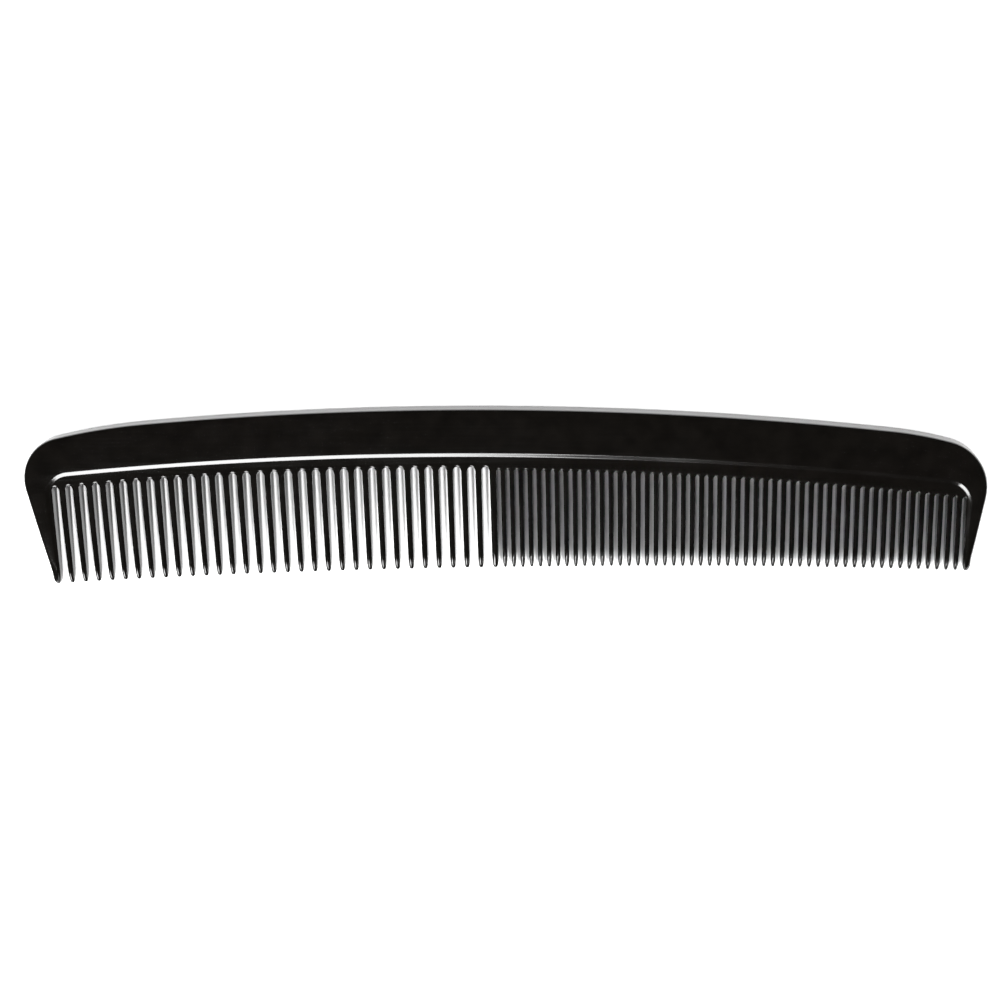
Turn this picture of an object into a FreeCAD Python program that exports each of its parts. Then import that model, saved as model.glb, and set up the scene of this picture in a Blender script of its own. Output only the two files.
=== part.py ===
import FreeCAD, Part
import math
import os
import re
import Sketcher

# A straight dressing comb, moulded in one plastic and divided here at the root line, where the teeth
# leave the back. X runs along the comb towards the close-set teeth, Y towards the back, Z through the
# thickness. The origin is under the middle of the comb, on the plane that it lies on.

OUT = "parts"
OVERRUN = 0.2       # how far a tool or a blank reaches past the face where it is cut
FINE_GROUP = 3      # close-set teeth that share a node
VOLUME_FLOOR = 1.0  # a sub-part below this volume, in cubic mm, was not built

# alias, value in mm, degrees or pieces, what it is
SIZES = [
    ("comb_height", 37.0, "back apex to the lowest tooth tip"),
    ("spine_thickness", 4.2, "over the flat lands of the back"),
    ("back_radius", 747.0, "long arc of the back"),
    ("back_apex_x", -2.0, "where the back and the root line are highest"),
    ("root_depth", 12.5, "back apex down to the root line"),
    ("root_line_radius", 823.0, "arc on which the rounded gap ends are centred"),
    ("band_height", 3.05, "root line up to the foot of the shoulder"),
    ("recess_depth", 0.35, "step from the land down to the tooth field, each face"),
    ("shoulder_draft", 60.0, "slope of the shoulder from upright"),
    ("recess_corner", 2.8, "corner of the tooth field"),
    ("rim_radius", 1.4, "rounding of the outer rim, each face"),
    ("tip_line_radius", 2006.0, "arc through the tooth tips"),
    ("tip_apex_x", 52.0, "where the tip line is highest"),
    ("coarse_count", 31, "wide-set teeth"),
    ("coarse_width", 1.25, "wide-set tooth at its root"),
    ("coarse_tip_width", 1.1, "the same tooth where its point starts"),
    ("coarse_gap", 1.56, "between two wide-set teeth at the root"),
    ("coarse_flare", 0.2, "how much a wide gap opens from mid-thickness to the face, each side"),
    ("fine_count", 51, "close-set teeth"),
    ("fine_width", 1.0, "close-set tooth at its root"),
    ("fine_tip_width", 0.85, "the same tooth where its point starts"),
    ("fine_gap", 0.76, "between two close-set teeth at the root"),
    ("fine_flare", 0.15, "how much a narrow gap opens from mid-thickness to the face, each side"),
    ("divider_width", 1.4, "tooth between the two pitches, at its root"),
    ("divider_tip_width", 1.2, "the same tooth where its point starts"),
    ("tooth_tip_thickness", 1.7, "tooth through Z where its point starts"),
    ("point_length", 2.6, "tapered point of a tooth"),
    ("point_share", 0.35, "end of the point as a share of the section it starts from"),
    ("coarse_end_width", 5.55, "end tooth beside the wide-set teeth, from its gap to the widest point"),
    ("coarse_end_tip_width", 1.14, "that end tooth from its gap to its outer edge, at the tip line"),
    ("coarse_corner_radius", 9.1, "corner between the back and that edge"),
    ("coarse_lead_radius", 128.0, "arc that leads from the back into that corner"),
    ("coarse_lead_start", 25.2, "where that arc starts, from the end of the comb"),
    ("coarse_end_recess", 0.75, "how far the tooth field runs into that end tooth"),
    ("fine_end_width", 3.86, "end tooth beside the close-set teeth, from its gap to the widest point"),
    ("fine_end_tip_width", 1.18, "that end tooth from its gap to its outer edge, at the tip line"),
    ("fine_corner_radius", 9.65, "corner between the back and that edge"),
    ("fine_lead_radius", 72.0, "arc that leads from the back into that corner"),
    ("fine_lead_start", 18.4, "where that arc starts, from the end of the comb"),
    ("fine_end_recess", 0.55, "how far the tooth field runs into that end tooth"),
    ("end_tip_thickness", 2.2, "end tooth through Z where its point starts"),
    ("end_relief", 9.0, "length over which an end tooth thins towards its tip"),
    ("end_tip_rim", 0.45, "rounding of an end tooth's outer edge where its point starts"),
]

doc = FreeCAD.newDocument("dressing_comb")
sheet = doc.addObject("Spreadsheet::Sheet", "sizes")
for row, (alias, number, meaning) in enumerate(SIZES, start=1):
    sheet.set("A%d" % row, alias)
    sheet.set("B%d" % row, str(number))
    sheet.set("C%d" % row, meaning)
    sheet.setAlias("B%d" % row, alias)
doc.recompute()


def value(formula):
    """The present value of a formula of sizes, in mm or degrees."""
    return float(sheet.evalExpression(formula))


def tied(formula):
    """The same formula as another object's expression, with every size read from the sheet."""
    names = "|".join(entry[0] for entry in SIZES)
    return re.sub(r"\b(%s)\b" % names, r"sizes.\1", formula)


def bind(target, prop, formula):
    target.setExpression(prop, tied(formula))


# Places along and across the comb, as formulas of the driving sizes.
COARSE_PITCH = "(coarse_width + coarse_gap)"
FINE_PITCH = "(fine_width + fine_gap)"
COARSE_FIELD = "(coarse_count * %s + coarse_gap)" % COARSE_PITCH
FINE_FIELD = "(fine_count * %s + fine_gap)" % FINE_PITCH
TEETH = "(%s + divider_width + %s)" % (COARSE_FIELD, FINE_FIELD)
HALF_LENGTH = "((coarse_end_width + %s + fine_end_width) / 2)" % TEETH
COARSE_EDGE_X = "(coarse_end_width - %s)" % HALF_LENGTH
FINE_EDGE_X = "(%s - fine_end_width)" % HALF_LENGTH
DIVIDER_X = "(%s + %s + divider_width / 2)" % (COARSE_EDGE_X, COARSE_FIELD)
MID_Z = "(spine_thickness / 2)"
BAND_HALF = "(spine_thickness / 2 - recess_depth)"
BACK_Y = "(comb_height / 2)"
BACK_CENTRE_Y = "(%s - back_radius)" % BACK_Y
ROOT_CENTRE_Y = "(%s - root_depth - root_line_radius)" % BACK_Y

COARSE_COUNT = int(value("coarse_count"))
FINE_COUNT = int(value("fine_count"))
MIDDLE = value(MID_Z)


def rootFormula(x):
    """Height of the root line at the place x, a formula itself."""
    return "(%s + sqrt(root_line_radius^2 - (%s - back_apex_x)^2))" % (ROOT_CENTRE_Y, x)


def rootY(x):
    drop = math.sqrt(value("root_line_radius") ** 2 - (x - value("back_apex_x")) ** 2)
    return value(ROOT_CENTRE_Y) + drop


def tipSag(x):
    """How far the tip line has fallen at x below its highest point."""
    radius = value("tip_line_radius")
    return radius - math.sqrt(radius ** 2 - (x - value("tip_apex_x")) ** 2)


def tipY(x):
    """Height of the tip line at x; the tooth furthest from its apex ends at the comb's lowest point."""
    lowest = max(tipSag(value(COARSE_EDGE_X)), tipSag(value(FINE_EDGE_X)))
    return lowest - value(BACK_Y) - tipSag(x)


def tipFormula(x):
    """The same height as a formula, for x a formula itself."""
    sag = "(tip_line_radius - sqrt(tip_line_radius^2 - (%s - tip_apex_x)^2))"
    lowest = "max(%s; %s)" % (sag % COARSE_EDGE_X, sag % FINE_EDGE_X)
    return "(%s - %s - %s)" % (lowest, BACK_Y, sag % x)


def slantFormula(name, side):
    """Slope from upright of an end's outer edge, which meets the end tooth's width at the tip line."""
    share = "(1 - %s_lead_radius / back_radius)" % name
    start = "(%d * (%s - %s_lead_start))" % (side, HALF_LENGTH, name)
    rise = "sqrt(back_radius^2 - (%s - back_apex_x)^2)" % start
    leadX = "(back_apex_x + (%s - back_apex_x) * %s)" % (start, share)
    leadY = "(%s + %s * %s)" % (BACK_CENTRE_Y, rise, share)
    centreX = "(%d * (%s - %s_corner_radius))" % (side, HALF_LENGTH, name)
    lift = "sqrt(({0}_lead_radius - {0}_corner_radius)^2 - ({1} - {2})^2)".format(name, centreX, leadX)
    edge = COARSE_EDGE_X if side < 0 else FINE_EDGE_X
    across = "(%d * (%s - %s) + %s_end_tip_width)" % (side, edge, centreX, name)
    down = "(%s + %s - %s)" % (leadY, lift, tipFormula(edge))
    turn = "acos({0}_corner_radius / hypot({1}; {2}))".format(name, across, down)
    return "((atan2(%s; %s) - %s) / 1deg)" % (down, across, turn)


class CombEnd:
    """Outline of one end of the comb; side is -1 at the wide-set teeth and 1 at the close-set ones."""

    def __init__(self, name, side):
        self.name = name
        self.side = side
        corner = value(name + "_corner_radius")
        lead = value(name + "_lead_radius")
        self.slantFormula = slantFormula(name, side)
        self.slant = math.radians(value(self.slantFormula))
        self.edgeX = value(COARSE_EDGE_X if side < 0 else FINE_EDGE_X)
        self.startFormula = "(%d * (%s - %s_lead_start))" % (side, HALF_LENGTH, name)
        self.centreFormula = "(%d * (%s - %s_corner_radius))" % (side, HALF_LENGTH, name)
        backCentre = FreeCAD.Vector(value("back_apex_x"), value(BACK_CENTRE_Y), 0)
        startX = value(self.startFormula)
        rise = math.sqrt(value("back_radius") ** 2 - (startX - backCentre.x) ** 2)
        self.start = FreeCAD.Vector(startX, backCentre.y + rise, 0)
        self.leadCentre = self.start - (self.start - backCentre).normalize() * lead
        centreX = value(self.centreFormula)
        lift = math.sqrt((lead - corner) ** 2 - (centreX - self.leadCentre.x) ** 2)
        self.centre = FreeCAD.Vector(centreX, self.leadCentre.y + lift, 0)
        self.join = self.centre + (self.centre - self.leadCentre).normalize() * corner
        outward = FreeCAD.Vector(side * math.cos(self.slant), -math.sin(self.slant), 0)
        self.edgeTop = self.centre + outward * corner
        self.foot = self.outer(rootY(self.edgeTop.x))

    def outer(self, y):
        """The point of the slanted outer edge at height y."""
        fall = self.edgeTop.y - y
        return FreeCAD.Vector(self.edgeTop.x - self.side * fall * math.tan(self.slant), y, 0)


coarseEnd = CombEnd("coarse", -1)
fineEnd = CombEnd("fine", 1)


def newSketch(body, name, role):
    sketch = body.newObject("Sketcher::SketchObject", name)
    plane = [feature for feature in body.Origin.OriginFeatures if feature.Role == role][0]
    sketch.AttachmentSupport = [(plane, "")]
    sketch.MapMode = "FlatFace"
    return sketch


def addLine(sketch, first, last):
    return sketch.addGeometry(Part.LineSegment(first, last))


def addArc(sketch, centre, first, last):
    """An arc about centre that runs anticlockwise from first to last."""
    circle = Part.Circle(centre, FreeCAD.Vector(0, 0, 1), (first - centre).Length)
    return sketch.addGeometry(Part.ArcOfCircle(circle, circle.parameter(first), circle.parameter(last)))


def dimension(sketch, name, formula, kind, *where):
    """A named dimension of a sketch, tied to the sheet."""
    number = value(formula)
    if kind == "Angle":
        number = math.radians(number)
        formula = "(%s) * 1deg" % formula
    index = sketch.addConstraint(Sketcher.Constraint(kind, *where, number))
    sketch.renameConstraint(index, name)
    bind(sketch, "Constraints." + name, formula)


ORIGIN = (-1, 1)    # the sketch's origin, as constraints name it
FIRST, LAST, CENTRE = 1, 2, 3


def placeArcCentre(sketch, name, arc, x, y):
    dimension(sketch, name + "_x", x, "DistanceX", *ORIGIN, arc, CENTRE)
    dimension(sketch, name + "_y", y, "DistanceY", *ORIGIN, arc, CENTRE)


def spineBlank():
    """The back at full thickness: its outline down to the root line, padded, with a rounded rim."""
    body = doc.addObject("PartDesign::Body", "spine_blank")
    sketch = newSketch(body, "spine_outline", "XY_Plane")
    left, right = coarseEnd, fineEnd
    backCentre = FreeCAD.Vector(value("back_apex_x"), value(BACK_CENTRE_Y), 0)
    rootCentre = FreeCAD.Vector(value("back_apex_x"), value(ROOT_CENTRE_Y), 0)
    edgeRight = addLine(sketch, right.foot, right.edgeTop)
    cornerRight = addArc(sketch, right.centre, right.edgeTop, right.join)
    leadRight = addArc(sketch, right.leadCentre, right.join, right.start)
    back = addArc(sketch, backCentre, right.start, left.start)
    leadLeft = addArc(sketch, left.leadCentre, left.start, left.join)
    cornerLeft = addArc(sketch, left.centre, left.join, left.edgeTop)
    edgeLeft = addLine(sketch, left.edgeTop, left.foot)
    root = addArc(sketch, rootCentre, right.foot, left.foot)
    chain = [edgeRight, cornerRight, leadRight, back, leadLeft, cornerLeft, edgeLeft]
    for piece, following in zip(chain, chain[1:]):
        sketch.addConstraint(Sketcher.Constraint("Tangent", piece, LAST, following, FIRST))
    sketch.addConstraint(Sketcher.Constraint("Coincident", edgeLeft, LAST, root, LAST))
    sketch.addConstraint(Sketcher.Constraint("Coincident", root, FIRST, edgeRight, FIRST))
    for arc, alias in ((back, "back_radius"), (root, "root_line_radius"),
                       (leadRight, "fine_lead_radius"), (cornerRight, "fine_corner_radius"),
                       (leadLeft, "coarse_lead_radius"), (cornerLeft, "coarse_corner_radius")):
        dimension(sketch, alias, alias, "Radius", arc)
    placeArcCentre(sketch, "back_centre", back, "back_apex_x", BACK_CENTRE_Y)
    placeArcCentre(sketch, "root_centre", root, "back_apex_x", ROOT_CENTRE_Y)
    dimension(sketch, "right_corner", right.centreFormula, "DistanceX", *ORIGIN, cornerRight, CENTRE)
    dimension(sketch, "left_corner", left.centreFormula, "DistanceX", *ORIGIN, cornerLeft, CENTRE)
    dimension(sketch, "right_lead", right.startFormula, "DistanceX", *ORIGIN, back, FIRST)
    dimension(sketch, "left_lead", left.startFormula, "DistanceX", *ORIGIN, back, LAST)
    dimension(sketch, "right_slant", "90 - " + right.slantFormula, "Angle", edgeRight)
    dimension(sketch, "left_slant", left.slantFormula + " - 90", "Angle", edgeLeft)
    pad = body.newObject("PartDesign::Pad", "spine_pad")
    pad.Profile = sketch
    bind(pad, "Length", "spine_thickness")
    doc.recompute()
    rim = body.newObject("PartDesign::Fillet", "spine_rim")
    rim.Base = (pad, rimEdges(pad.Shape))
    bind(rim, "Radius", "rim_radius")
    body.Tip = rim
    return body


def rimEdges(shape):
    """Names of the edges round both faces, without those along the root line."""
    names = []
    for number, edge in enumerate(shape.Edges, start=1):
        flat = abs(edge.BoundBox.ZLength) < OVERRUN
        alongRoot = all(abs(point.Point.y - rootY(point.Point.x)) < OVERRUN for point in edge.Vertexes)
        if flat and not alongRoot:
            names.append("Edge%d" % number)
    return names


def toothField():
    """Tool for the sunk tooth field on the upper face: its foot outline, extruded with a sloping wall."""
    sketch = doc.addObject("Sketcher::SketchObject", "field_outline")
    bind(sketch, "Placement.Base.z", "%s + %s" % (MID_Z, BAND_HALF))
    corner = value("recess_corner")
    centre = FreeCAD.Vector(value("back_apex_x"), value(ROOT_CENTRE_Y), 0)
    reach = value("root_line_radius + band_height")
    leftFormula = "(%s - coarse_end_recess)" % COARSE_EDGE_X
    rightFormula = "(%s + fine_end_recess)" % FINE_EDGE_X
    leftX, rightX = value(leftFormula), value(rightFormula)
    low = -value(BACK_Y) - corner

    def cornerPlace(x):
        return FreeCAD.Vector(x, centre.y + math.sqrt((reach - corner) ** 2 - (x - centre.x) ** 2), 0)

    def topPoint(place):
        return centre + (place - centre).normalize() * reach

    leftCorner, rightCorner = cornerPlace(leftX + corner), cornerPlace(rightX - corner)
    floorLeft, floorRight = FreeCAD.Vector(leftX, low, 0), FreeCAD.Vector(rightX, low, 0)
    rightTop, leftTop = FreeCAD.Vector(rightX, rightCorner.y, 0), FreeCAD.Vector(leftX, leftCorner.y, 0)
    floor = addLine(sketch, floorLeft, floorRight)
    wallRight = addLine(sketch, floorRight, rightTop)
    arcRight = addArc(sketch, rightCorner, rightTop, topPoint(rightCorner))
    top = addArc(sketch, centre, topPoint(rightCorner), topPoint(leftCorner))
    arcLeft = addArc(sketch, leftCorner, topPoint(leftCorner), leftTop)
    wallLeft = addLine(sketch, leftTop, floorLeft)
    for piece, following in ((wallRight, arcRight), (arcRight, top), (top, arcLeft), (arcLeft, wallLeft)):
        sketch.addConstraint(Sketcher.Constraint("Tangent", piece, LAST, following, FIRST))
    sketch.addConstraint(Sketcher.Constraint("Coincident", floor, LAST, wallRight, FIRST))
    sketch.addConstraint(Sketcher.Constraint("Coincident", wallLeft, LAST, floor, FIRST))
    sketch.addConstraint(Sketcher.Constraint("Horizontal", floor))
    sketch.addConstraint(Sketcher.Constraint("Vertical", wallRight))
    sketch.addConstraint(Sketcher.Constraint("Vertical", wallLeft))
    dimension(sketch, "field_radius", "root_line_radius + band_height", "Radius", top)
    placeArcCentre(sketch, "field_centre", top, "back_apex_x", ROOT_CENTRE_Y)
    dimension(sketch, "right_radius", "recess_corner", "Radius", arcRight)
    dimension(sketch, "left_radius", "recess_corner", "Radius", arcLeft)
    dimension(sketch, "field_right", rightFormula, "DistanceX", *ORIGIN, floor, LAST)
    dimension(sketch, "field_left", leftFormula, "DistanceX", *ORIGIN, floor, FIRST)
    dimension(sketch, "field_floor", "-%s - recess_corner" % BACK_Y, "DistanceY", *ORIGIN, floor, FIRST)
    tool = doc.addObject("Part::Extrusion", "upper_field")
    tool.Base = sketch
    tool.DirMode = "Normal"
    tool.Solid = True
    bind(tool, "LengthFwd", "recess_depth + %s" % OVERRUN)
    bind(tool, "TaperAngle", "shoulder_draft")
    return tool


def mirrored(source, name):
    """The same tool on the lower face."""
    mirror = doc.addObject("Part::Mirroring", name)
    mirror.Source = source
    mirror.Normal = FreeCAD.Vector(0, 0, 1)
    bind(mirror, "Base.z", MID_Z)
    return mirror


def cut(base, tool, name):
    result = doc.addObject("Part::Cut", name)
    result.Base = base
    result.Tool = tool
    return result


def gapEnd(name, x, kind):
    """Upper half of the tool for one rounded gap end, which opens from mid-thickness to the face."""
    cone = doc.addObject("Part::Cone", name)
    bind(cone, "Radius1", "%s_gap / 2" % kind)
    bind(cone, "Radius2", "{0}_gap / 2 + {0}_flare * (1 + {1} / {2})".format(kind, OVERRUN, BAND_HALF))
    bind(cone, "Height", "%s + %s" % (BAND_HALF, OVERRUN))
    bind(cone, "Placement.Base.x", x)
    bind(cone, "Placement.Base.y", rootFormula(x))
    bind(cone, "Placement.Base.z", MID_Z)
    return cone


def gapEnds():
    cones = []
    for index in range(COARSE_COUNT + 1):
        x = "(%s + coarse_gap / 2 + %d * %s)" % (COARSE_EDGE_X, index, COARSE_PITCH)
        cones.append(gapEnd("coarse_gap_end_%02d" % (index + 1), x, "coarse"))
    for index in range(FINE_COUNT + 1):
        x = "(%s - fine_gap / 2 - %d * %s)" % (FINE_EDGE_X, FINE_COUNT - index, FINE_PITCH)
        cones.append(gapEnd("fine_gap_end_%02d" % (index + 1), x, "fine"))
    group = doc.addObject("Part::Compound", "upper_gap_ends")
    group.Links = cones
    return group


def trimmedAtRoot(solid):
    """The part of a blank below the root line."""
    radius = value("root_line_radius")
    centre = FreeCAD.Vector(value("back_apex_x"), value(ROOT_CENTRE_Y), -OVERRUN)
    below = Part.makeCylinder(radius, value("spine_thickness") + 2 * OVERRUN, centre)
    return solid.common(below)


def lensSection(x, y, width, face, thickness):
    """A tooth's section: widest at mid-thickness, flat on each face."""
    half = thickness / 2
    corners = [(-width / 2, 0), (-face / 2, half), (face / 2, half),
               (width / 2, 0), (face / 2, -half), (-face / 2, -half)]
    return Part.makePolygon([FreeCAD.Vector(x + across, y, MIDDLE + through)
                             for across, through in corners + corners[:1]])


def toothShape(x, kind, flare):
    """One tooth from the root line at x to the tip line: a tapered lens bar with a blunt point."""
    width, tipWidth = value(kind + "_width"), value(kind + "_tip_width")
    thickness, tipThickness = 2 * value(BAND_HALF), value("tooth_tip_thickness")
    face = width - 2 * value(flare)
    tipFace = tipWidth * face / width
    share = value("point_share")
    top, tip = rootY(x), tipY(x)
    sections = [
        lensSection(x, top + OVERRUN, width, face, thickness),
        lensSection(x, tip + value("point_length"), tipWidth, tipFace, tipThickness),
        lensSection(x, tip, tipWidth * share, tipFace * share, tipThickness * share),
    ]
    return trimmedAtRoot(Part.makeLoft(sections, True, True))


def endSection(end, y, thickness, flare, rim, share=1.0):
    """An end tooth's section: flared towards its gap, rounded at its outer edge, shrunk to a share."""
    inner = FreeCAD.Vector(end.edgeX, y, MIDDLE)
    outer = end.outer(y)
    half = thickness / 2
    bow = rim * (1 - math.sqrt(0.5))
    middleX = (inner.x + outer.x) / 2

    def place(x, through):
        return FreeCAD.Vector(middleX + (x - middleX) * share, y, MIDDLE + through * share)

    def roundedCorner(sign):
        arc = Part.Arc(place(outer.x - end.side * rim, sign * half),
                       place(outer.x - end.side * bow, sign * (half - bow)),
                       place(outer.x, sign * (half - rim)))
        return arc.toShape()

    faceX = inner.x + end.side * flare
    upper, lower = roundedCorner(1), roundedCorner(-1)
    points = [place(outer.x, half - rim), place(outer.x, rim - half),
              place(outer.x - end.side * rim, -half), place(faceX, -half),
              place(inner.x, 0), place(faceX, half), place(outer.x - end.side * rim, half)]
    edges = [upper, Part.makeLine(points[0], points[1]), lower]
    edges += [Part.makeLine(first, last) for first, last in zip(points[2:], points[3:])]
    return Part.Wire(Part.sortEdges(edges)[0])


def endToothShape(end, flare, fieldTools):
    """A broad end tooth: full thickness at the root, thinned and pointed towards its tip."""
    thickness, tipThickness = value("spine_thickness"), value("end_tip_thickness")
    rim, tipRim = value("rim_radius"), value("end_tip_rim")
    top, tip = rootY(end.edgeX), tipY(end.edgeX)
    sections = [
        endSection(end, end.foot.y + 2 * OVERRUN + abs(end.foot.y - top), thickness, flare, rim),
        endSection(end, tip + value("end_relief"), thickness, flare, rim * tipThickness / thickness),
        endSection(end, tip + value("point_length"), tipThickness, flare / 2, tipRim),
        endSection(end, tip, tipThickness, flare / 2, tipRim, value("point_share")),
    ]
    solid = trimmedAtRoot(Part.makeLoft(sections, True, True))
    for tool in fieldTools:
        solid = solid.cut(tool.Shape)
    return solid


nodes = []


def addNode(name, shape):
    """A node for a shape made with Part's own functions, placed at the middle of its root."""
    feature = doc.addObject("Part::Feature", name)
    base = FreeCAD.Vector(shape.BoundBox.Center.x, shape.BoundBox.YMax, MIDDLE)
    toOrigin = FreeCAD.Matrix()
    toOrigin.move(base * -1)
    feature.Shape = shape.transformed(toOrigin, copy=True)
    feature.Placement = FreeCAD.Placement(base, FreeCAD.Rotation())
    feature.Label = name
    nodes.append(feature)


upperField = toothField()
lowerField = mirrored(upperField, "lower_field")
upperGaps = gapEnds()
lowerGaps = mirrored(upperGaps, "lower_gap_ends")
recessed = cut(cut(spineBlank(), upperField, "spine_upper_step"), lowerField, "spine_lower_step")
spine = cut(cut(recessed, upperGaps, "spine_upper_gaps"), lowerGaps, "spine_cut")
spine.Label = "spine"
doc.recompute()
nodes.append(spine)

fieldTools = [upperField, lowerField]
addNode("coarse_end_tooth", endToothShape(coarseEnd, value("coarse_flare"), fieldTools))
for index in range(COARSE_COUNT):
    toothX = value("%s + (%d + 0.5) * %s + coarse_gap / 2" % (COARSE_EDGE_X, index, COARSE_PITCH))
    addNode("coarse_tooth_%02d" % (index + 1), toothShape(toothX, "coarse", "coarse_flare"))
addNode("divider_tooth", toothShape(value(DIVIDER_X), "divider", "coarse_flare"))
for first in range(0, FINE_COUNT, FINE_GROUP):
    group = []
    for index in range(first, min(first + FINE_GROUP, FINE_COUNT)):
        toothX = value("%s - (%d - 0.5) * %s - fine_gap / 2" % (FINE_EDGE_X, FINE_COUNT - index, FINE_PITCH))
        group.append(toothShape(toothX, "fine", "fine_flare"))
    addNode("fine_teeth_%02d" % (first // FINE_GROUP + 1), Part.makeCompound(group))
addNode("fine_end_tooth", endToothShape(fineEnd, value("fine_flare"), fieldTools))

doc.recompute()
for item in doc.Objects:
    if "Invalid" in item.State or "Error" in item.State:
        raise RuntimeError("%s did not build" % item.Label)
os.makedirs(OUT, exist_ok=True)
for node in nodes:
    shape = node.Shape
    if shape.isNull() or not shape.isValid() or shape.Volume < VOLUME_FLOOR:
        raise RuntimeError("%s is not a sound solid" % node.Label)
    shape.exportStep(os.path.join(OUT, node.Label + ".step"))
    print(node.Label, len(shape.Solids), round(shape.Volume, 2))
box = Part.makeCompound([node.Shape for node in nodes]).optimalBoundingBox()
print("comb %.2f x %.2f x %.2f mm" % (box.XLength, box.YLength, box.ZLength))
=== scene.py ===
import math
import bpy
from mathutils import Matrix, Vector


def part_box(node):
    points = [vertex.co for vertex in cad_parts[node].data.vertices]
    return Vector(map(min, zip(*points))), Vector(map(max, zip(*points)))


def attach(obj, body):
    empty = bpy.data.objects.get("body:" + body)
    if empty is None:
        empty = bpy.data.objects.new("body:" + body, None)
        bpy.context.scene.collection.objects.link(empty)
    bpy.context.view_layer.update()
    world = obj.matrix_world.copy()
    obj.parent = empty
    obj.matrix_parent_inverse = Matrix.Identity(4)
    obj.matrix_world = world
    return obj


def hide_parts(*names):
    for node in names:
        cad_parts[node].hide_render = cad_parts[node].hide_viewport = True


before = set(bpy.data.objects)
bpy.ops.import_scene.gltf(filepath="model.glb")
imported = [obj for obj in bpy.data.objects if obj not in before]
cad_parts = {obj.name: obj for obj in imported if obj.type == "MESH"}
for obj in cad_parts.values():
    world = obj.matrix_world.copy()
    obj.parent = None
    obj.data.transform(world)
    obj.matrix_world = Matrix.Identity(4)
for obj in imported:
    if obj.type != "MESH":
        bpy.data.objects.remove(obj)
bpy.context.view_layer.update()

mm = 0.001
tiny = 0.002 * mm       # points closer than this are one point
near = 0.01 * mm        # heights closer than this are the same height


# helpers for working on one mesh in edit mode

def deselectObjects():
    for item in bpy.context.selected_objects:
        item.select_set(False)


def makeActive(piece):
    deselectObjects()
    piece.select_set(True)
    bpy.context.view_layer.objects.active = piece


def startPoint(name, place):
    # a tiny plane merged to one vertex, which is then moved to where the drawing starts
    deselectObjects()
    bpy.ops.mesh.primitive_plane_add(size=mm)
    piece = bpy.context.object
    piece.name = name
    piece.data.name = name
    bpy.ops.object.mode_set(mode="EDIT")
    bpy.ops.mesh.select_mode(type="VERT")
    bpy.ops.mesh.merge(type="CENTER")
    bpy.ops.transform.translate(value=place)
    return piece


def drawTo(start, end):
    step = Vector(end) - Vector(start)
    bpy.ops.mesh.extrude_region_move(TRANSFORM_OT_translate={"value": step})
    return Vector(end)


def drawArc(centre, start, end, steps):
    # spin turns clockwise for a positive angle seen from above
    first = math.atan2(start[1] - centre[1], start[0] - centre[0])
    last = math.atan2(end[1] - centre[1], end[0] - centre[0])
    turn = (last - first + math.pi) % (2 * math.pi) - math.pi
    bpy.ops.mesh.spin(steps=steps, angle=-turn, center=(centre[0], centre[1], start[2]), axis=(0, 0, 1))
    return Vector(end)


def closeOutline():
    bpy.ops.mesh.select_all(action="SELECT")
    bpy.ops.mesh.remove_doubles(threshold=tiny)
    bpy.ops.mesh.edge_face_add()


def recalculate():
    bpy.ops.mesh.select_all(action="SELECT")
    bpy.ops.mesh.normals_make_consistent(inside=False)


def selectBy(piece, kind, test):
    # leaves edit mode to set the flags, then comes back with that kind of element picked
    bpy.ops.mesh.select_all(action="DESELECT")
    bpy.ops.mesh.select_mode(type={"polygons": "FACE", "edges": "EDGE"}[kind])
    bpy.ops.object.mode_set(mode="OBJECT")
    mesh = piece.data
    for element in getattr(mesh, kind):
        if test([mesh.vertices[index].co for index in element.vertices]):
            element.select = True
    bpy.ops.object.mode_set(mode="EDIT")


def applyBoolean(piece, cutters):
    group = bpy.data.collections.new("cutters")
    bpy.context.scene.collection.children.link(group)
    for cutter in cutters:
        group.objects.link(cutter)
    makeActive(piece)
    cut = piece.modifiers.new("cut", "BOOLEAN")
    cut.operation = "DIFFERENCE"
    cut.operand_type = "COLLECTION"
    cut.collection = group
    cut.solver = "MANIFOLD"
    bpy.ops.object.modifier_apply(modifier=cut.name)
    for cutter in cutters:
        bpy.data.objects.remove(cutter)
    bpy.data.collections.remove(group)


def ownCopy(source, name, shift=(0, 0, 0)):
    piece = source.copy()
    piece.data = source.data.copy()
    piece.name = name
    piece.data.name = name
    bpy.context.scene.collection.objects.link(piece)
    for vertex in piece.data.vertices:
        vertex.co += Vector(shift)
    return piece


def joinPieces(pieces, name):
    makeActive(pieces[0])
    for piece in pieces:
        piece.select_set(True)
    bpy.ops.object.join()
    joined = bpy.context.object
    joined.name = name
    joined.data.name = name
    return joined


smoothAngle = math.radians(38)


def finishPiece(piece, nodes, material):
    makeActive(piece)
    bpy.ops.object.shade_smooth_by_angle(angle=smoothAngle)
    piece.data.materials.clear()
    piece.data.materials.append(material)
    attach(piece, "root")
    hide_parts(*nodes)


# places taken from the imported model

spineLow, spineHigh = [Vector(corner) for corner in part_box("spine")]
midZ = (spineLow.z + spineHigh.z) / 2
coarseEndLow, coarseEndHigh = [Vector(corner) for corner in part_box("coarse_end_tooth")]
fineEndLow = Vector(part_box("fine_end_tooth")[0])
coarseEdge = coarseEndHigh.x    # the side of each end tooth that faces its first gap
fineEdge = fineEndLow.x

comb = {
    "apexX": -2.0 * mm,
    "backRadius": 747 * mm,
    "rootDepth": 12.5 * mm,
    "rootRadius": 823 * mm,
    "halfLength": 94.98 * mm,
    "backY": 18.48 * mm,
}
backCentre = Vector((comb["apexX"], comb["backY"] - comb["backRadius"], 0))
rootCentre = Vector((comb["apexX"], comb["backY"] - comb["rootDepth"] - comb["rootRadius"], 0))


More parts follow.
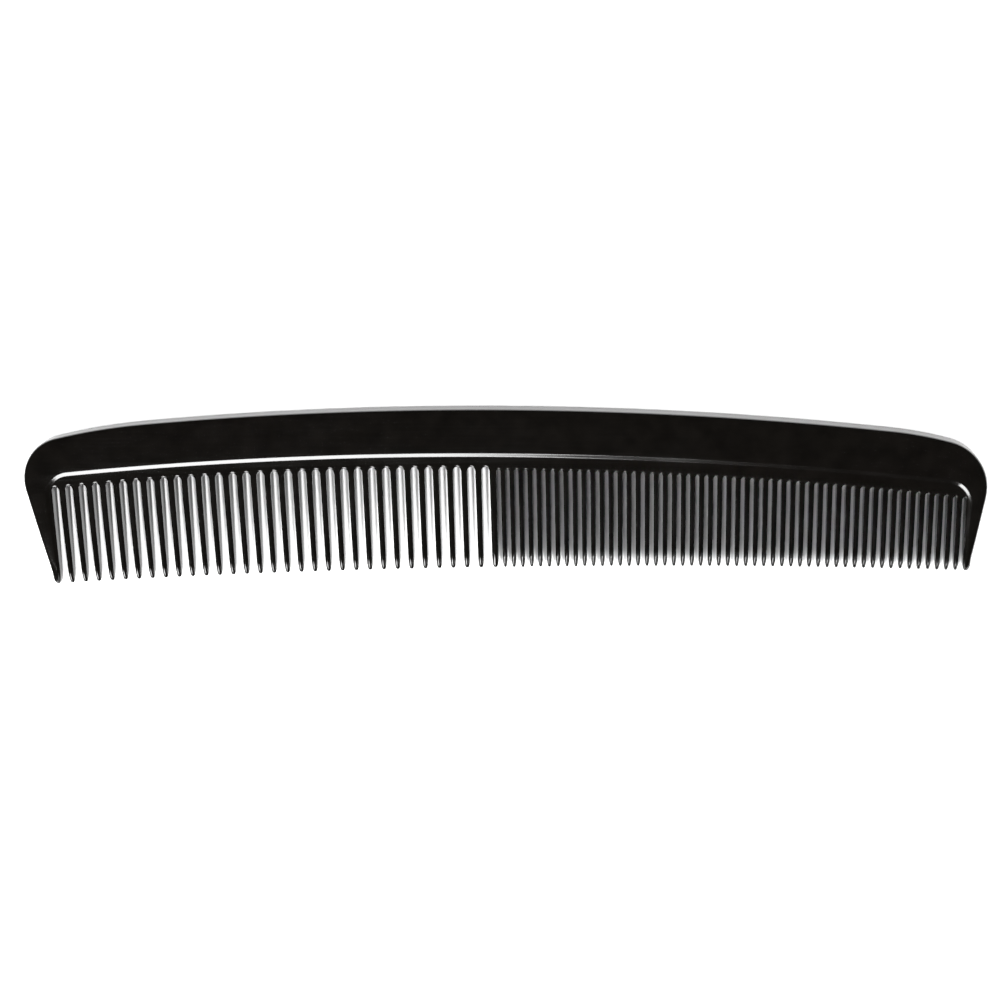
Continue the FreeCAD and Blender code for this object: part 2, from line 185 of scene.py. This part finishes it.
def arcY(centre, radius, x):
    return centre.y + math.sqrt(radius ** 2 - (x - centre.x) ** 2)


def rootY(x):
    return arcY(rootCentre, comb["rootRadius"], x)


# a gap has a rounded end and opens out to the band on each face

gapEnds = {
    # radius and height above mid-thickness, from the band down
    "coarse": [(0.90, 1.75), (0.865, 1.738), (0.838, 1.70), (0.818, 1.62), (0.805, 1.48),
               (0.795, 1.10), (0.788, 0.60), (0.783, 0.30), (0.78, 0.0)],
    "fine": [(0.475, 1.75), (0.447, 1.738), (0.425, 1.70), (0.410, 1.62), (0.400, 1.48),
             (0.392, 1.10), (0.386, 0.60), (0.383, 0.30), (0.38, 0.0)],
}
gap = {
    "coarseHalf": 0.78 * mm, "coarsePitch": 2.81 * mm, "coarseCount": 31,
    "fineHalf": 0.38 * mm, "finePitch": 1.76 * mm, "fineCount": 51,
    "dividerWidth": 1.4 * mm,
    "overrun": 0.25 * mm,   # how far the cutter stands past the band
    "steps": 48,
    "softTop": 5.0,         # how much wider the rounding is above the gap than beside the teeth
}


def gapRadius(kind, z):
    # how far the wall stands from the gap's axis at a height above mid-thickness, in metres
    table = gapEnds[kind]
    for (outer, high), (inner, low) in zip(table, table[1:]):
        if low <= z / mm <= high:
            return (inner + (outer - inner) * (z / mm - low) / (high - low)) * mm
    return table[0][0] * mm


def gapCutter(kind):
    table = [(radius * mm, height * mm) for radius, height in gapEnds[kind]]
    upper = [(0, table[0][1] + gap["overrun"]), (table[0][0], table[0][1] + gap["overrun"])] + table
    lower = [(radius, -height) for radius, height in reversed(upper[:-1])]
    outline = [Vector((radius, 0, midZ + height)) for radius, height in upper + lower]
    cutter = startPoint("gapCutter", outline[0])
    place = outline[0]
    for spot in outline[1:]:
        place = drawTo(place, spot)
    bpy.ops.mesh.select_all(action="SELECT")
    bpy.ops.mesh.spin(steps=gap["steps"], angle=2 * math.pi, center=(0, 0, 0), axis=(0, 0, 1))
    bpy.ops.mesh.select_all(action="SELECT")
    bpy.ops.mesh.remove_doubles(threshold=tiny / 2)
    recalculate()
    bpy.ops.object.mode_set(mode="OBJECT")
    narrow = table[-1][0]
    for vertex in cutter.data.vertices:
        radius = math.hypot(vertex.co.x, vertex.co.y)
        if radius > narrow:
            vertex.co.y *= 1 + gap["softTop"] * (radius - narrow) / radius
    return cutter


coarseGapX = [coarseEdge + gap["coarseHalf"] + index * gap["coarsePitch"]
              for index in range(gap["coarseCount"] + 1)]
fineGapX = [fineEdge - gap["fineHalf"] - index * gap["finePitch"]
            for index in range(gap["fineCount"] + 1)]


back = {
    "rim": 0.7 * mm, "rimSegments": 7,
    "bandFoot": 2.95 * mm,      # root line up to the foot of the shoulder
    # how far the sunk field runs into each end tooth, and its corners
    "recessLeft": 0.55 * mm, "recessRight": 0.26 * mm,
    "cornerLeft": 4.6 * mm, "cornerRight": 4.0 * mm,
    "cutterRise": 0.4 * mm,     # how far the recess cutter stands above the land
    "cutterLow": -24 * mm,      # it runs out below the tooth tips
    # each step of the shoulder going in and down from the land to the band
    "shoulder": [(0.115, 0.022), (0.115, 0.045), (0.115, 0.054), (0.115, 0.054),
                 (0.115, 0.054), (0.115, 0.054), (0.115, 0.045), (0.115, 0.022)],
    "shoulderHeight": 0.35 * mm,
    "crown": 0.05 * mm, "crownReach": 90 * mm,
    "bandHalf": 1.75 * mm,
    # points along the corners, the lead-in curves, the back and the root line
    "cornerSteps": 14, "leadSteps": 8, "backSteps": 48, "rootSteps": 60,
    # the grid that lets the crown bend the faces
    "columns": 11, "columnStep": 8 * mm, "rows": 12, "rowStart": 3.0 * mm, "rowStep": 1.2 * mm,
}
ends = {
    "left": {"side": -1, "slant": 11.8, "corner": 9.1 * mm, "lead": 128 * mm, "leadStart": 25.2 * mm},
    "right": {"side": 1, "slant": 9.5, "corner": 9.65 * mm, "lead": 72 * mm, "leadStart": 18.4 * mm},
}


def endPlaces(end):
    side, slant = end["side"], math.radians(end["slant"])
    startX = side * (comb["halfLength"] - end["leadStart"])
    start = Vector((startX, arcY(backCentre, comb["backRadius"], startX), 0))
    leadCentre = start - (start - backCentre).normalized() * end["lead"]
    cornerX = side * (comb["halfLength"] - end["corner"])
    corner = Vector((cornerX, arcY(leadCentre, end["lead"] - end["corner"], cornerX), 0))
    join = corner + (corner - leadCentre).normalized() * end["corner"]
    edgeTop = corner + Vector((side * math.cos(slant), -math.sin(slant), 0)) * end["corner"]
    footY = rootY(edgeTop.x)
    foot = Vector((edgeTop.x - side * (edgeTop.y - footY) * math.tan(slant), footY, 0))
    return {"start": start, "leadCentre": leadCentre, "cornerCentre": corner, "join": join,
            "edgeTop": edgeTop, "foot": foot, "tan": math.tan(slant), "side": side}


leftEnd, rightEnd = endPlaces(ends["left"]), endPlaces(ends["right"])


def backPlate():
    left, right = leftEnd, rightEnd
    lowZ = Vector((0, 0, midZ - (spineHigh.z - spineLow.z) / 2))
    rootLeft = Vector((coarseEdge, rootY(coarseEdge), 0))
    rootRight = Vector((fineEdge, rootY(fineEdge), 0))
    plate = startPoint("combBack", left["foot"] + lowZ)
    place = drawTo(left["foot"] + lowZ, left["edgeTop"] + lowZ)
    place = drawArc(left["cornerCentre"], place, left["join"] + lowZ, back["cornerSteps"])
    place = drawArc(left["leadCentre"], place, left["start"] + lowZ, back["leadSteps"])
    place = drawArc(backCentre, place, right["start"] + lowZ, back["backSteps"])
    place = drawArc(right["leadCentre"], place, right["join"] + lowZ, back["leadSteps"])
    place = drawArc(right["cornerCentre"], place, right["edgeTop"] + lowZ, back["cornerSteps"])
    place = drawTo(place, right["foot"] + lowZ)
    place = drawTo(place, rootRight + lowZ)
    drawArc(rootCentre, place, rootLeft + lowZ, back["rootSteps"])
    closeOutline()
    bpy.ops.mesh.extrude_region_move(TRANSFORM_OT_translate={"value": (0, 0, spineHigh.z - spineLow.z)})
    recalculate()

    def onRim(spots):
        flat = abs(spots[0].z - spots[1].z) < near
        raised = [spot.y - rootY(spot.x) > 2 * near for spot in spots]
        return flat and any(raised)

    selectBy(plate, "edges", onRim)
    bpy.ops.mesh.bevel(offset=back["rim"], segments=back["rimSegments"], profile=0.5, affect="EDGES")
    for index in range(-back["columns"], back["columns"] + 1):
        bpy.ops.mesh.select_all(action="SELECT")
        bpy.ops.mesh.bisect(plane_co=(index * back["columnStep"], 0, 0), plane_no=(1, 0, 0))
    for index in range(back["rows"]):
        bpy.ops.mesh.select_all(action="SELECT")
        y = back["rowStart"] + index * back["rowStep"]
        bpy.ops.mesh.bisect(plane_co=(0, y, 0), plane_no=(0, 1, 0))
    bpy.ops.object.mode_set(mode="OBJECT")
    return plate


def recessCutter():
    # from above the land, its sides step in and down to the band
    reach = sum(step[0] for step in back["shoulder"]) * mm
    radius = comb["rootRadius"] + back["bandFoot"] + reach
    leftRound, rightRound = back["cornerLeft"] + reach, back["cornerRight"] + reach
    leftX = coarseEdge - back["recessLeft"] - reach
    rightX = fineEdge + back["recessRight"] + reach
    low = back["cutterLow"]
    land = midZ + back["bandHalf"] + sum(step[1] for step in back["shoulder"]) * mm
    top = land + back["cutterRise"]
    cornerX = leftX + leftRound
    leftCorner = Vector((cornerX, arcY(rootCentre, radius - leftRound, cornerX), top))
    cornerX = rightX - rightRound
    rightCorner = Vector((cornerX, arcY(rootCentre, radius - rightRound, cornerX), top))
    outward = Vector((rootCentre.x, rootCentre.y, top))
    leftJoin = leftCorner + (leftCorner - outward).normalized() * leftRound
    rightJoin = rightCorner + (rightCorner - outward).normalized() * rightRound
    start = Vector((leftX, low, top))
    cutter = startPoint("recessCutter", start)
    place = drawTo(start, (leftX, leftCorner.y, top))
    place = drawArc(leftCorner, place, leftJoin, back["cornerSteps"])
    place = drawArc(rootCentre, place, rightJoin, back["rootSteps"])
    place = drawArc(rightCorner, place, (rightX, rightCorner.y, top), back["cornerSteps"])
    drawTo(place, (rightX, low, top))
    closeOutline()
    bpy.ops.mesh.extrude_region_move(TRANSFORM_OT_translate={"value": (0, 0, -back["cutterRise"])})
    recalculate()
    selectBy(cutter, "polygons", lambda spots: all(abs(spot.z - land) < near for spot in spots))
    for inwards, down in back["shoulder"]:
        bpy.ops.mesh.inset(thickness=inwards * mm, depth=down * mm, use_even_offset=True)
    recalculate()
    bpy.ops.object.mode_set(mode="OBJECT")
    return cutter


def mirroredBelow(source, name):
    piece = ownCopy(source, name)
    makeActive(piece)
    bpy.ops.object.mode_set(mode="EDIT")
    bpy.ops.mesh.select_all(action="SELECT")
    bpy.ops.transform.resize(value=(1, 1, -1), center_override=(0, 0, midZ))
    recalculate()
    bpy.ops.object.mode_set(mode="OBJECT")
    return piece


def crownFaces(piece):
    # the land falls off a little towards the rim and the shoulder
    for vertex in piece.data.vertices:
        height = vertex.co.z - midZ
        share = (abs(height) - back["bandHalf"]) / back["shoulderHeight"]
        if share <= 0:
            continue
        x = max(-back["crownReach"], min(back["crownReach"], vertex.co.x))
        top = arcY(backCentre, comb["backRadius"], x)
        low = rootY(x) + back["bandFoot"]
        across = max(-1, min(1, (vertex.co.y - (top + low) / 2) / ((top - low) / 2)))
        vertex.co.z -= math.copysign(min(share, 1) * back["crown"] * across ** 2, height)


combBack = backPlate()
upperRecess = recessCutter()
applyBoolean(combBack, [upperRecess, mirroredBelow(upperRecess, "lowerRecess")])
print("back: recessed plate,", len(combBack.data.polygons), "faces")
cutters = []
for kind, places in (("coarse", coarseGapX), ("fine", fineGapX)):
    master = gapCutter(kind)
    cutters += [ownCopy(master, kind + "GapCutter", (x, rootY(x), 0)) for x in places]
    bpy.data.objects.remove(master)
applyBoolean(combBack, cutters)
crownFaces(combBack)
print("back: gap ends cut,", len(combBack.data.polygons), "faces")


# how far along the point, and the shares of the width and of the thickness left there
roundPoint = [(0.25, 0.995, 0.93), (0.45, 0.975, 0.80), (0.65, 0.93, 0.62), (0.80, 0.83, 0.46),
              (0.92, 0.63, 0.30), (0.98, 0.37, 0.17)]
bluntPoint = [(0.30, 0.985, 0.985), (0.50, 0.94, 0.955), (0.68, 0.85, 0.90), (0.82, 0.71, 0.80),
              (0.92, 0.52, 0.62), (0.98, 0.30, 0.38)]
teeth = {
    "coarse": {"tipWidth": 0.92, "tipHalf": 1.25 * mm, "pointLength": 3.1 * mm, "point": roundPoint},
    "fine": {"tipWidth": 0.96, "tipHalf": 1.45 * mm, "pointLength": 4.2 * mm, "point": roundPoint},
    "divider": {"tipWidth": 0.92, "tipHalf": 1.3 * mm, "pointLength": 3.4 * mm, "point": roundPoint},
    "overlap": 0.12 * mm,   # how far each tooth runs into the back
    "shaft": 6,
    "groupSize": 3,
    "faceSteps": (0.2, 0.4, 0.6, 0.8),
    "crown": 0.50,          # share of the half thickness that the edges lose at the tip
    "masterTop": 6 * mm, "masterTip": -18 * mm,
}


def sectionRows(leftKind, leftHalf, rightKind, rightHalf):
    # heights and half widths of a tooth's upper half, left and right of its centreline
    heights = sorted({height for kind in (leftKind, rightKind) for radius, height in gapEnds[kind]})
    rows = []
    for height in heights:
        left = leftHalf - gapRadius(leftKind, height * mm)
        right = rightHalf - gapRadius(rightKind, height * mm)
        rows.append((height * mm, -left, right))
    return rows


def makeTooth(name, kind, leftKind, leftHalf, rightKind, rightHalf, top, tip):
    sizes = teeth[kind]
    rows = sectionRows(leftKind, leftHalf, rightKind, rightHalf)
    high, left, right = rows[-1]
    face = [(left + (right - left) * share, high) for share in teeth["faceSteps"]]
    outline = face + [(right, height) for height, left, right in reversed(rows)]
    outline += [(right, -height) for height, left, right in rows[1:]]
    outline += [(x, -height) for x, height in reversed(face)]
    outline += [(left, -height) for height, left, right in reversed(rows[1:])]
    outline += [(left, height) for height, left, right in rows]
    spots = [Vector((x, top + teeth["overlap"], midZ + z)) for x, z in outline]
    tooth = startPoint(name, spots[0])
    place = spots[0]
    for spot in spots[1:] + spots[:1]:
        place = drawTo(place, spot)
    closeOutline()
    start = tip + sizes["pointLength"]
    y = top + teeth["overlap"]
    width, height = 1.0, 1.0
    tall = sizes["tipHalf"] / high
    halfWidth = (right - left) / 2

    def section(newY, newWidth, newHeight):
        nonlocal y, width, height
        bpy.ops.mesh.extrude_region_move(TRANSFORM_OT_translate={"value": (0, newY - y, 0)})
        bpy.ops.transform.resize(value=(newWidth / width, 1, newHeight / height),
                                 center_override=(0, newY, midZ))
        y, width, height = newY, newWidth, newHeight

    section(top, 1.0, 1.0)
    for index in range(1, teeth["shaft"] + 1):
        share = index / teeth["shaft"]
        section(top + (start - top) * share, 1 + (sizes["tipWidth"] - 1) * share, 1 + (tall - 1) * share)
    for along, wideLeft, tallLeft in sizes["point"]:
        section(start - sizes["pointLength"] * along, sizes["tipWidth"] * wideLeft, tall * tallLeft)
    bpy.ops.mesh.extrude_region_move(TRANSFORM_OT_translate={"value": (0, tip - y, 0)})
    bpy.ops.mesh.merge(type="CENTER")
    recalculate()
    bpy.ops.object.mode_set(mode="OBJECT")
    # flat beside the band, more and more rounded across towards the tip
    for vertex in tooth.data.vertices:
        share = max(0, (top - vertex.co.y) / (top - tip)) ** 2
        across = min(1, abs(vertex.co.x) / halfWidth)
        vertex.co.z += (midZ - vertex.co.z) * teeth["crown"] * share * across ** 2
    return tooth


def placeTooth(master, name, x, top, tip, masterTop, masterTip):
    # a copy, stretched to its own root and tip
    tooth = ownCopy(master, name)
    stretch = (top - tip) / (masterTop - masterTip)
    for vertex in tooth.data.vertices:
        vertex.co.x += x
        vertex.co.y = top + (vertex.co.y - masterTop) * stretch
    return tooth


def nodeBox(node):
    low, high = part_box(node)
    return Vector(low), Vector(high)


print("teeth")
toothPieces = []
masterTop, masterTip = teeth["masterTop"], teeth["masterTip"]
coarseMaster = makeTooth("coarseMaster", "coarse", "coarse", gap["coarsePitch"] / 2, "coarse",
                         gap["coarsePitch"] / 2, masterTop, masterTip)
for index in range(1, gap["coarseCount"] + 1):
    node = "coarse_tooth_%02d" % index
    low, high = nodeBox(node)
    x = (low.x + high.x) / 2
    tooth = placeTooth(coarseMaster, "coarseTooth%02d" % index, x, rootY(x), low.y, masterTop, masterTip)
    toothPieces.append((tooth, [node]))
bpy.data.objects.remove(coarseMaster)

fineMaster = makeTooth("fineMaster", "fine", "fine", gap["finePitch"] / 2, "fine",
                       gap["finePitch"] / 2, masterTop, masterTip)
for group in range(1, gap["fineCount"] // teeth["groupSize"] + 1):
    node = "fine_teeth_%02d" % group
    low, high = nodeBox(node)
    members = []
    for index in range(teeth["groupSize"]):
        x = (low.x + high.x) / 2 + (index - 1) * gap["finePitch"]
        members.append(placeTooth(fineMaster, "fineMember", x, rootY(x), low.y, masterTop, masterTip))
    toothPieces.append((joinPieces(members, "fineTeeth%02d" % group), [node]))
bpy.data.objects.remove(fineMaster)

low, high = nodeBox("divider_tooth")
dividerX = (low.x + high.x) / 2
dividerHalf = gap["dividerWidth"] / 2
divider = makeTooth("dividerTooth", "divider", "coarse", dividerHalf + gap["coarseHalf"],
                    "fine", dividerHalf + gap["fineHalf"], rootY(dividerX), low.y)
for vertex in divider.data.vertices:
    vertex.co.x += dividerX
toothPieces.append((divider, ["divider_tooth"]))


endTeeth = {
    "coarse": {"recess": back["recessLeft"], "kind": "coarse", "half": gap["coarseHalf"]},
    "fine": {"recess": back["recessRight"], "kind": "fine", "half": gap["fineHalf"]},
    "tipHalf": 1.4 * mm, "pointLength": 2.6 * mm, "shaft": 7,
    "start": 0.5 * mm,          # drawn from this far above the root, then trimmed
    "pointMiddle": 1.2 * mm,    # the point narrows about the middle found this far above the tip
}


def makeEndTooth(name, end, edge, sizes, tip):
    side = end["side"]
    landHalf = (spineHigh.z - spineLow.z) / 2 - back["crown"]

    def outerX(y):
        return end["edgeTop"].x - side * (end["edgeTop"].y - y) * end["tan"]

    high = max(end["foot"].y, rootY(edge)) + endTeeth["start"]
    width = abs(outerX(rootY(edge)) - edge)
    table = gapEnds[sizes["kind"]]
    # distance from the gap's edge and height, from mid-thickness at the gap over the land to the rim
    rows = [(radius * mm - sizes["half"], height * mm) for radius, height in reversed(table)]
    across, height = sizes["recess"], back["bandHalf"]
    rows.append((across, height))
    for outwards, up in reversed(back["shoulder"]):
        across += outwards * mm
        height += up * mm
        fall = back["crown"] * min(1, (height - back["bandHalf"]) / back["shoulderHeight"])
        rows.append((across, height - fall))
    rim = back["rim"]
    for index in range(back["rimSegments"] + 1):
        turn = math.pi / 2 * index / back["rimSegments"]
        up = landHalf + back["crown"] - rim + rim * math.cos(turn)
        fall = back["crown"] * max(0, min(1, (up - back["bandHalf"]) / back["shoulderHeight"]))
        rows.append((width - rim + rim * math.sin(turn), up - fall))
    outline = rows + [(across, -height) for across, height in reversed(rows[1:])]
    first = abs(outerX(high) - edge) / width
    spots = [Vector((edge + side * across * first, high, midZ + height)) for across, height in outline]
    tooth = startPoint(name, spots[0])
    place = spots[0]
    for spot in spots[1:] + spots[:1]:
        place = drawTo(place, spot)
    closeOutline()
    y, wide, tall = high, first, 1.0

    def section(newY, newWide, newTall, pivot):
        nonlocal y, wide, tall
        bpy.ops.mesh.extrude_region_move(TRANSFORM_OT_translate={"value": (0, newY - y, 0)})
        bpy.ops.transform.resize(value=(newWide / wide, 1, newTall / tall),
                                 center_override=(pivot, newY, midZ))
        y, wide, tall = newY, newWide, newTall

    def wideAt(newY):
        return abs(outerX(newY) - edge) / width

    pointTop = tip + endTeeth["pointLength"]
    thin = endTeeth["tipHalf"] / landHalf
    for index in range(1, endTeeth["shaft"] + 1):
        share = index / endTeeth["shaft"]
        newY = high + (pointTop - high) * share
        section(newY, wideAt(newY), 1 + (thin - 1) * share, edge)
    middle = edge + side * wideAt(tip + endTeeth["pointMiddle"]) * width / 2
    wide, tall = 1.0, 1.0
    for along, wideLeft, tallLeft in bluntPoint:
        section(pointTop - endTeeth["pointLength"] * along, wideLeft, tallLeft, middle)
    bpy.ops.mesh.extrude_region_move(TRANSFORM_OT_translate={"value": (0, tip - y, 0)})
    bpy.ops.mesh.merge(type="CENTER")
    recalculate()
    bpy.ops.object.mode_set(mode="OBJECT")
    # rounded across, most of all at the tip
    for vertex in tooth.data.vertices:
        share = max(0, (high - vertex.co.y) / (high - tip)) ** 3
        halfWide = abs(outerX(vertex.co.y) - edge) / 2
        across = min(1, abs(vertex.co.x - edge - side * halfWide) / halfWide)
        vertex.co.z += (midZ - vertex.co.z) * teeth["crown"] * share * across ** 2
    bpy.ops.object.mode_set(mode="EDIT")
    # trimmed along the line from the outer edge to the gap, where the back starts
    rootEdge = Vector((edge, rootY(edge), 0))
    along = (end["foot"] - rootEdge).normalized() * side
    bpy.ops.mesh.select_all(action="SELECT")
    bpy.ops.mesh.bisect(plane_co=rootEdge, plane_no=(-along.y, along.x, 0), use_fill=True, clear_outer=True)
    bpy.ops.object.mode_set(mode="OBJECT")
    return tooth


coarseEndPiece = makeEndTooth("coarseEndTooth", leftEnd, coarseEdge, endTeeth["coarse"], coarseEndLow.y)
fineEndPiece = makeEndTooth("fineEndTooth", rightEnd, fineEdge, endTeeth["fine"], fineEndLow.y)
toothPieces.append((coarseEndPiece, ["coarse_end_tooth"]))
toothPieces.append((fineEndPiece, ["fine_end_tooth"]))


# polished black moulded plastic

plastic = {
    "dark": (0.0012, 0.0010, 0.0008, 1), "light": (0.0026, 0.0022, 0.0018, 1),
    "darkUpTo": 0.3, "lightFrom": 0.75,
    "roughLow": 0.09, "roughHigh": 0.20,
    "noiseLow": 0.3, "noiseHigh": 0.7,
    "swirl": 260, "wear": 90, "hairline": 2600, "grain": 9000,
    "hairlineStretch": (0.02, 1.0, 1.0),
    "hairlineInGloss": 0.4, "hairlineInRelief": 0.45,
    "bump": 0.12, "bumpDepth": 0.01 * mm,
    "ior": 1.5,
}


def polishedPlastic():
    material = bpy.data.materials.new("polishedBlackPlastic")
    material.use_nodes = True
    tree = material.node_tree
    shader = tree.nodes["Principled BSDF"]
    shader.inputs["IOR"].default_value = plastic["ior"]

    def add(kind, **values):
        node = tree.nodes.new(kind)
        for key, value in values.items():
            setattr(node, key, value)
        return node

    def link(first, output, second, socket):
        tree.links.new(first.outputs[output], second.inputs[socket])

    place = add("ShaderNodeTexCoord")

    def noise(scale, detail, source, output):
        node = add("ShaderNodeTexNoise")
        node.inputs["Scale"].default_value = plastic[scale]
        node.inputs["Detail"].default_value = detail
        link(source, output, node, "Vector")
        return node

    # slow cloudiness in the colour, as pigment flows in the mould
    cloud = noise("swirl", 3, place, "Object")
    colour = add("ShaderNodeValToRGB")
    for index, (position, shade) in enumerate((("darkUpTo", "dark"), ("lightFrom", "light"))):
        colour.color_ramp.elements[index].position = plastic[position]
        colour.color_ramp.elements[index].color = plastic[shade]
    link(cloud, "Fac", colour, "Fac")
    link(colour, "Color", shader, "Base Color")
    # hairline polishing marks along the comb, over patches worn a little duller
    stretch = add("ShaderNodeMapping")
    stretch.inputs["Scale"].default_value = plastic["hairlineStretch"]
    link(place, "Object", stretch, "Vector")
    hair = noise("hairline", 2, stretch, "Vector")
    wear = noise("wear", 4, place, "Object")
    blend = add("ShaderNodeMix", data_type="FLOAT")
    blend.inputs["Factor"].default_value = plastic["hairlineInGloss"]
    link(wear, "Fac", blend, "A")
    link(hair, "Fac", blend, "B")
    gloss = add("ShaderNodeMapRange")
    gloss.inputs["From Min"].default_value = plastic["noiseLow"]
    gloss.inputs["From Max"].default_value = plastic["noiseHigh"]
    gloss.inputs["To Min"].default_value = plastic["roughLow"]
    gloss.inputs["To Max"].default_value = plastic["roughHigh"]
    link(blend, "Result", gloss, "Value")
    link(gloss, "Result", shader, "Roughness")
    # fine moulded grain under the polish
    grain = noise("grain", 1, place, "Object")
    relief = add("ShaderNodeMix", data_type="FLOAT")
    relief.inputs["Factor"].default_value = plastic["hairlineInRelief"]
    link(grain, "Fac", relief, "A")
    link(hair, "Fac", relief, "B")
    bump = add("ShaderNodeBump")
    bump.inputs["Strength"].default_value = plastic["bump"]
    bump.inputs["Distance"].default_value = plastic["bumpDepth"]
    link(relief, "Result", bump, "Height")
    link(bump, "Normal", shader, "Normal")
    return material


black = polishedPlastic()
finishPiece(combBack, ["spine"], black)
for tooth, nodes in toothPieces:
    finishPiece(tooth, nodes, black)
print("pieces:", 1 + len(toothPieces))


# floor, light and camera

studio = {
    "floorSize": 6.0, "floorColour": (0.9, 0.9, 0.9, 1),
    "world": 0.035,
    "key": {"azimuth": 24, "elevation": 34, "distance": 0.9, "size": (0.50, 0.50), "power": 17.5},
    "front": {"azimuth": 20, "elevation": 50, "distance": 0.9, "size": (0.50, 0.40), "power": 8},
    "left": {"azimuth": 90, "elevation": 73.5, "distance": 1.1, "size": (0.80, 0.12), "power": 16},
    "right": {"azimuth": -90, "elevation": 72, "distance": 1.1, "size": (0.80, 0.12), "power": 14},
}

deselectObjects()
bpy.ops.mesh.primitive_plane_add(size=studio["floorSize"], location=(0, 0, 0))
floor = bpy.context.object
floor.name = "studioFloor"
floorLook = bpy.data.materials.new("paleFloor")
floorLook.use_nodes = True
floorShader = floorLook.node_tree.nodes["Principled BSDF"]
floorShader.inputs["Base Color"].default_value = studio["floorColour"]
floorShader.inputs["Roughness"].default_value = 1.0
floorShader.inputs["Specular IOR Level"].default_value = 0.0
floor.data.materials.append(floorLook)

world = bpy.data.worlds.new("studioWorld")
bpy.context.scene.world = world
world.use_nodes = True
world.node_tree.nodes["Background"].inputs["Color"].default_value = (1, 1, 1, 1)
world.node_tree.nodes["Background"].inputs["Strength"].default_value = studio["world"]


def softbox(name, azimuth, elevation, distance, size, power):
    # azimuth turns from -Y towards -X
    turn, rise = math.radians(azimuth), math.radians(elevation)
    direction = Vector((-math.sin(turn) * math.cos(rise), -math.cos(turn) * math.cos(rise), math.sin(rise)))
    light = bpy.data.lights.new(name, "AREA")
    light.shape = "RECTANGLE"
    light.size, light.size_y = size
    light.energy = power
    lamp = bpy.data.objects.new(name, light)
    lamp.location = direction * distance
    lamp.rotation_euler = direction.to_track_quat("Z", "Y").to_euler()
    bpy.context.scene.collection.objects.link(lamp)
    return lamp


key = softbox("keySoftbox", **studio["key"])
front = softbox("frontSoftbox", **studio["front"])
left = softbox("leftSoftbox", **studio["left"])
right = softbox("rightSoftbox", **studio["right"])
# the key is only for the shine on the plastic, the others only for the floor
key.visible_diffuse = False
front.visible_glossy = False
left.visible_glossy = False
right.visible_glossy = False

viewpoint = {
    "lens": 64.8, "sensor": 36,
    "place": (34.8 * mm, 96.32 * mm, 342.88 * mm),
    "turn": (-15.8574, 5.3309, -1.1586),    # degrees
}
view = bpy.data.cameras.new("studioCamera")
view.lens = viewpoint["lens"]
view.sensor_width = viewpoint["sensor"]
camera = bpy.data.objects.new("studioCamera", view)
camera.location = viewpoint["place"]
camera.rotation_euler = [math.radians(angle) for angle in viewpoint["turn"]]
bpy.context.scene.collection.objects.link(camera)
bpy.context.scene.camera = camera
bpy.context.scene.view_settings.view_transform = "Standard"
print("stage ready")
